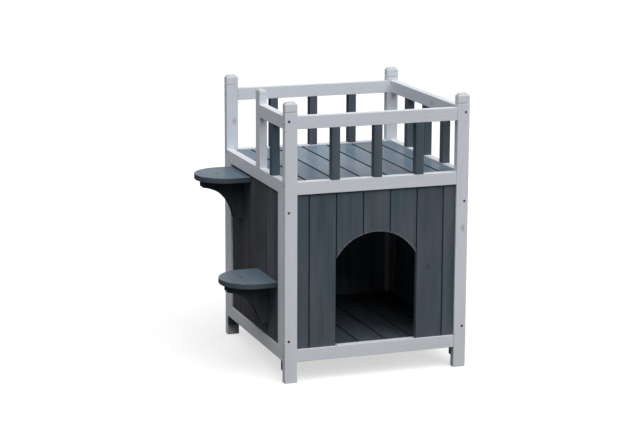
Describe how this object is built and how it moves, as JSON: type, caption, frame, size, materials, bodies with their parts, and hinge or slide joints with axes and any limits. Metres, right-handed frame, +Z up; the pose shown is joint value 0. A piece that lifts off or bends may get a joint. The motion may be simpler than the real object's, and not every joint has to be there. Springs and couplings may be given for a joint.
{
  "type": "cat house",
  "caption": "Boarded wooden cat house with an arched doorway, a railed balcony on its roof, and half-round climbing steps on brackets up one wall.",
  "frame": {"origin": "middle of the bounding box, steps included, on the floor under the feet", "axes": "+Z up, front with the doorway towards -Y, steps towards -X"},
  "size_m": [0.627, 0.518, 0.73],
  "materials": {
    "frame_paint": "satin white paint over planed softwood",
    "wall_stain": "dark grey stain, matt",
    "deck_stain": "dark grey stain, satin",
    "bare_pine": "planed, bare",
    "screw_zinc": "yellow zinc"
  },
  "bodies": {
    "root": {"post_front_left": "frame_paint", "post_front_right": "frame_paint", "post_back_left": "frame_paint", "post_back_right": "frame_paint", "gate_post": "frame_paint", "front_bottom_rail": "frame_paint", "back_bottom_rail": "frame_paint", "left_bottom_rail": "frame_paint", "right_bottom_rail": "frame_paint", "front_deck_rail": "frame_paint", "back_deck_rail": "frame_paint", "left_deck_rail": "frame_paint", "right_deck_rail": "frame_paint", "front_top_rail": "frame_paint", "back_top_rail": "frame_paint", "left_top_rail": "frame_paint", "right_top_rail": "frame_paint", "left_stile_front": "frame_paint", "left_stile_back": "frame_paint", "right_stile_front": "frame_paint", "right_stile_back": "frame_paint", "baluster_front_1": "wall_stain", "baluster_back_1": "wall_stain", "baluster_front_2": "wall_stain", "baluster_back_2": "wall_stain", "baluster_front_3": "wall_stain", "baluster_back_3": "wall_stain", "baluster_right_1": "wall_stain", "baluster_right_2": "wall_stain", "baluster_right_3": "wall_stain", "baluster_left": "wall_stain", "front_board_1": "wall_stain", "front_board_2": "wall_stain", "front_board_3": "wall_stain", "front_board_4": "wall_stain", "front_board_5": "wall_stain", "front_board_6": "wall_stain", "front_board_7": "wall_stain", "left_board_front_1": "wall_stain", "left_board_front_2": "wall_stain", "left_board_front_3": "wall_stain", "left_board_back_1": "wall_stain", "left_board_back_2": "wall_stain", "left_board_back_3": "wall_stain", "upper_step": "deck_stain", "upper_bracket": "wall_stain", "lower_step": "deck_stain", "lower_bracket": "wall_stain", "right_wall_boards": "wall_stain", "back_wall_boards": "wall_stain", "deck_boards": "deck_stain", "floor_boards": "wall_stain", "deck_battens": "bare_pine", "floor_battens": "bare_pine", "rest_blocks": "wall_stain", "panel_screws": "screw_zinc", "rail_screws": "screw_zinc", "step_screws": "screw_zinc", "wall_screws": "screw_zinc"}
  },
  "joints": []
}
